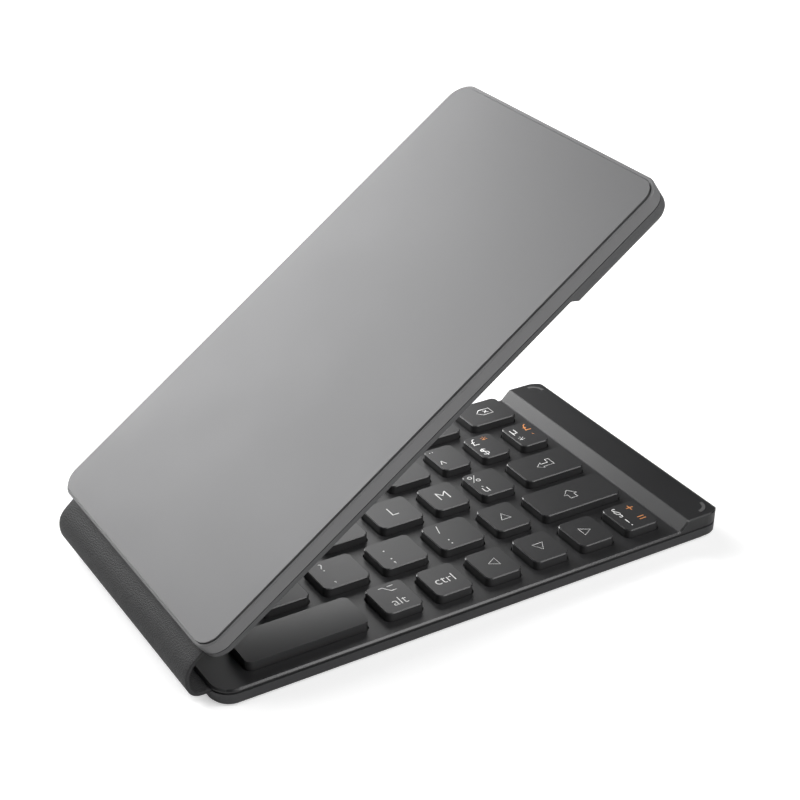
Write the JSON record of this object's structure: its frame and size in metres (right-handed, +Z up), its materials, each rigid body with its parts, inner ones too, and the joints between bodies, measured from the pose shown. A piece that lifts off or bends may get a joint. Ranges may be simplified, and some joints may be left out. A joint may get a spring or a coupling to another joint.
{
  "type": "folding keyboard",
  "caption": "Pocket keyboard in two hinged halves: dark keys on shallow decks with raised end bars, grey metal outer panels and a leather spine that folds shut like a book",
  "frame": {"origin": "centre of the base's flat underside, on the desk", "axes": "+X from the spine to the base's end bar, +Y from the user's side to the back, +Z up"},
  "size_m": [0.1711, 0.0906, 0.116],
  "materials": {
    "panel": "fine matt anodised grey",
    "base_case": "matt dark grey",
    "lid_case": "matt mid grey",
    "deck": "matt near-black with a fine texture",
    "keycap": "soft-touch dark grey with pale printed legends",
    "leather": "fine-grained dark grey",
    "rubber": "plain",
    "pad": "plain grey",
    "guide_plate": "moulded grey",
    "membrane": "printed polyester film",
    "steel": "plain",
    "magnet": "nickel plated",
    "board": "green solder mask",
    "cable": "amber polyimide film",
    "cell": "foil pouch"
  },
  "bodies": {
    "base": {"base_panel": "panel", "base_case": "base_case", "base_deck": "deck", "base_guide_plate": "guide_plate", "base_membrane": "membrane", "base_domes": "rubber", "base_screws": "steel", "base_magnets": "magnet", "base_corner_pads": "pad", "circuit_board": "board", "charging_socket": "steel", "base_hem": "leather"},
    "spine": {"spine_leather": "leather", "link_cable": "cable"},
    "lid": {"lid_panel": "panel", "lid_case": "lid_case", "lid_deck": "deck", "lid_guide_plate": "guide_plate", "lid_membrane": "membrane", "lid_domes": "rubber", "lid_screws": "steel", "lid_magnets": "magnet", "lid_corner_pads": "pad", "battery": "cell", "lid_hem": "leather"},
    "key_alt": {"key_alt": "keycap"},
    "key_ctrl": {"key_ctrl": "keycap"},
    "key_arrow_left": {"key_arrow_left": "keycap"},
    "key_arrow_down": {"key_arrow_down": "keycap"},
    "key_arrow_right": {"key_arrow_right": "keycap"},
    "key_section": {"key_section": "keycap"},
    "key_b": {"key_b": "keycap"},
    "key_n": {"key_n": "keycap"},
    "key_comma": {"key_comma": "keycap"},
    "key_period": {"key_period": "keycap"},
    "key_colon": {"key_colon": "keycap"},
    "key_arrow_up": {"key_arrow_up": "keycap"},
    "key_shift": {"key_shift": "keycap"},
    "keys_h_j": {"keys_h_j": "keycap"},
    "key_k": {"key_k": "keycap"},
    "key_l": {"key_l": "keycap"},
    "key_m": {"key_m": "keycap"},
    "key_percent": {"key_percent": "keycap"},
    "key_enter": {"key_enter": "keycap"},
    "keys_y_to_o": {"keys_y_to_o": "keycap"},
    "key_p": {"key_p": "keycap"},
    "key_circumflex": {"key_circumflex": "keycap"},
    "key_pound": {"key_pound": "keycap"},
    "key_star": {"key_star": "keycap"},
    "keys_numbers": {"keys_numbers": "keycap"},
    "key_bracket": {"key_bracket": "keycap"},
    "key_backspace": {"key_backspace": "keycap"},
    "key_space": {"key_space": "keycap"},
    "lid_key_space": {"lid_key_space": "keycap"},
    "lid_keys_row_1": {"lid_keys_row_1": "keycap"},
    "lid_keys_row_2": {"lid_keys_row_2": "keycap"},
    "lid_keys_row_3": {"lid_keys_row_3": "keycap"},
    "lid_keys_row_4": {"lid_keys_row_4": "keycap"},
    "lid_keys_row_5": {"lid_keys_row_5": "keycap"}
  },
  "joints": [
    {"name": "spine_fold", "type": "hinge", "parent": "base", "child": "spine", "pos_m": [-0.08665, 0, 0.0035], "axis": [0, -1, 0], "range_deg": [-1.8, 88.2]},
    {"name": "lid_fold", "type": "hinge", "parent": "spine", "child": "lid", "pos_m": [-0.08694, 0, 0.0128], "axis": [0, -1, 0], "range_deg": [-34.7, 55.3]},
    {"name": "key_alt_press", "type": "slide", "parent": "base", "child": "key_alt", "axis": [0, 0, -1], "range_m": [0, 0.0015], "stiffness_N_per_m": 330, "deforming": ["base_domes"]},
    {"name": "key_ctrl_press", "type": "slide", "parent": "base", "child": "key_ctrl", "axis": [0, 0, -1], "range_m": [0, 0.0015], "stiffness_N_per_m": 330, "deforming": ["base_domes"]},
    {"name": "key_arrow_left_press", "type": "slide", "parent": "base", "child": "key_arrow_left", "axis": [0, 0, -1], "range_m": [0, 0.0015], "stiffness_N_per_m": 330, "deforming": ["base_domes"]},
    {"name": "key_arrow_down_press", "type": "slide", "parent": "base", "child": "key_arrow_down", "axis": [0, 0, -1], "range_m": [0, 0.0015], "stiffness_N_per_m": 330, "deforming": ["base_domes"]},
    {"name": "key_arrow_right_press", "type": "slide", "parent": "base", "child": "key_arrow_right", "axis": [0, 0, -1], "range_m": [0, 0.0015], "stiffness_N_per_m": 330, "deforming": ["base_domes"]},
    {"name": "key_section_press", "type": "slide", "parent": "base", "child": "key_section", "axis": [0, 0, -1], "range_m": [0, 0.0015], "stiffness_N_per_m": 330, "deforming": ["base_domes"]},
    {"name": "key_b_press", "type": "slide", "parent": "base", "child": "key_b", "axis": [0, 0, -1], "range_m": [0, 0.0015], "stiffness_N_per_m": 330, "deforming": ["base_domes"]},
    {"name": "key_n_press", "type": "slide", "parent": "base", "child": "key_n", "axis": [0, 0, -1], "range_m": [0, 0.0015], "stiffness_N_per_m": 330, "deforming": ["base_domes"]},
    {"name": "key_comma_press", "type": "slide", "parent": "base", "child": "key_comma", "axis": [0, 0, -1], "range_m": [0, 0.0015], "stiffness_N_per_m": 330, "deforming": ["base_domes"]},
    {"name": "key_period_press", "type": "slide", "parent": "base", "child": "key_period", "axis": [0, 0, -1], "range_m": [0, 0.0015], "stiffness_N_per_m": 330, "deforming": ["base_domes"]},
    {"name": "key_colon_press", "type": "slide", "parent": "base", "child": "key_colon", "axis": [0, 0, -1], "range_m": [0, 0.0015], "stiffness_N_per_m": 330, "deforming": ["base_domes"]},
    {"name": "key_arrow_up_press", "type": "slide", "parent": "base", "child": "key_arrow_up", "axis": [0, 0, -1], "range_m": [0, 0.0015], "stiffness_N_per_m": 330, "deforming": ["base_domes"]},
    {"name": "key_shift_press", "type": "slide", "parent": "base", "child": "key_shift", "axis": [0, 0, -1], "range_m": [0, 0.0015], "stiffness_N_per_m": 330, "deforming": ["base_domes"]},
    {"name": "keys_h_j_press", "type": "slide", "parent": "base", "child": "keys_h_j", "axis": [0, 0, -1], "range_m": [0, 0.0015], "stiffness_N_per_m": 660, "deforming": ["base_domes"]},
    {"name": "key_k_press", "type": "slide", "parent": "base", "child": "key_k", "axis": [0, 0, -1], "range_m": [0, 0.0015], "stiffness_N_per_m": 330, "deforming": ["base_domes"]},
    {"name": "key_l_press", "type": "slide", "parent": "base", "child": "key_l", "axis": [0, 0, -1], "range_m": [0, 0.0015], "stiffness_N_per_m": 330, "deforming": ["base_domes"]},
    {"name": "key_m_press", "type": "slide", "parent": "base", "child": "key_m", "axis": [0, 0, -1], "range_m": [0, 0.0015], "stiffness_N_per_m": 330, "deforming": ["base_domes"]},
    {"name": "key_percent_press", "type": "slide", "parent": "base", "child": "key_percent", "axis": [0, 0, -1], "range_m": [0, 0.0015], "stiffness_N_per_m": 330, "deforming": ["base_domes"]},
    {"name": "key_enter_press", "type": "slide", "parent": "base", "child": "key_enter", "axis": [0, 0, -1], "range_m": [0, 0.0015], "stiffness_N_per_m": 330, "deforming": ["base_domes"]},
    {"name": "keys_y_to_o_press", "type": "slide", "parent": "base", "child": "keys_y_to_o", "axis": [0, 0, -1], "range_m": [0, 0.0015], "stiffness_N_per_m": 1320, "deforming": ["base_domes"]},
    {"name": "key_p_press", "type": "slide", "parent": "base", "child": "key_p", "axis": [0, 0, -1], "range_m": [0, 0.0015], "stiffness_N_per_m": 330, "deforming": ["base_domes"]},
    {"name": "key_circumflex_press", "type": "slide", "parent": "base", "child": "key_circumflex", "axis": [0, 0, -1], "range_m": [0, 0.0015], "stiffness_N_per_m": 330, "deforming": ["base_domes"]},
    {"name": "key_pound_press", "type": "slide", "parent": "base", "child": "key_pound", "axis": [0, 0, -1], "range_m": [0, 0.0015], "stiffness_N_per_m": 330, "deforming": ["base_domes"]},
    {"name": "key_star_press", "type": "slide", "parent": "base", "child": "key_star", "axis": [0, 0, -1], "range_m": [0, 0.0015], "stiffness_N_per_m": 330, "deforming": ["base_domes"]},
    {"name": "keys_numbers_press", "type": "slide", "parent": "base", "child": "keys_numbers", "axis": [0, 0, -1], "range_m": [0, 0.0015], "stiffness_N_per_m": 1650, "deforming": ["base_domes"]},
    {"name": "key_bracket_press", "type": "slide", "parent": "base", "child": "key_bracket", "axis": [0, 0, -1], "range_m": [0, 0.0015], "stiffness_N_per_m": 330, "deforming": ["base_domes"]},
    {"name": "key_backspace_press", "type": "slide", "parent": "base", "child": "key_backspace", "axis": [0, 0, -1], "range_m": [0, 0.0015], "stiffness_N_per_m": 330, "deforming": ["base_domes"]},
    {"name": "key_space_press", "type": "slide", "parent": "base", "child": "key_space", "axis": [0, 0, -1], "range_m": [0, 0.0015], "stiffness_N_per_m": 330, "deforming": ["base_domes"]},
    {"name": "lid_key_space_press", "type": "slide", "parent": "lid", "child": "lid_key_space", "axis": [-0.5948, 0, 0.8039], "range_m": [0, 0.0015], "stiffness_N_per_m": 330, "deforming": ["lid_domes"]},
    {"name": "lid_keys_row_1_press", "type": "slide", "parent": "lid", "child": "lid_keys_row_1", "axis": [-0.5948, 0, 0.8039], "range_m": [0, 0.0015], "stiffness_N_per_m": 1320, "deforming": ["lid_domes"]},
    {"name": "lid_keys_row_2_press", "type": "slide", "parent": "lid", "child": "lid_keys_row_2", "axis": [-0.5948, 0, 0.8039], "range_m": [0, 0.0015], "stiffness_N_per_m": 1650, "deforming": ["lid_domes"]},
    {"name": "lid_keys_row_3_press", "type": "slide", "parent": "lid", "child": "lid_keys_row_3", "axis": [-0.5948, 0, 0.8039], "range_m": [0, 0.0015], "stiffness_N_per_m": 1980, "deforming": ["lid_domes"]},
    {"name": "lid_keys_row_4_press", "type": "slide", "parent": "lid", "child": "lid_keys_row_4", "axis": [-0.5948, 0, 0.8039], "range_m": [0, 0.0015], "stiffness_N_per_m": 1980, "deforming": ["lid_domes"]},
    {"name": "lid_keys_row_5_press", "type": "slide", "parent": "lid", "child": "lid_keys_row_5", "axis": [-0.5948, 0, 0.8039], "range_m": [0, 0.0015], "stiffness_N_per_m": 1980, "deforming": ["lid_domes"]}
  ]
}
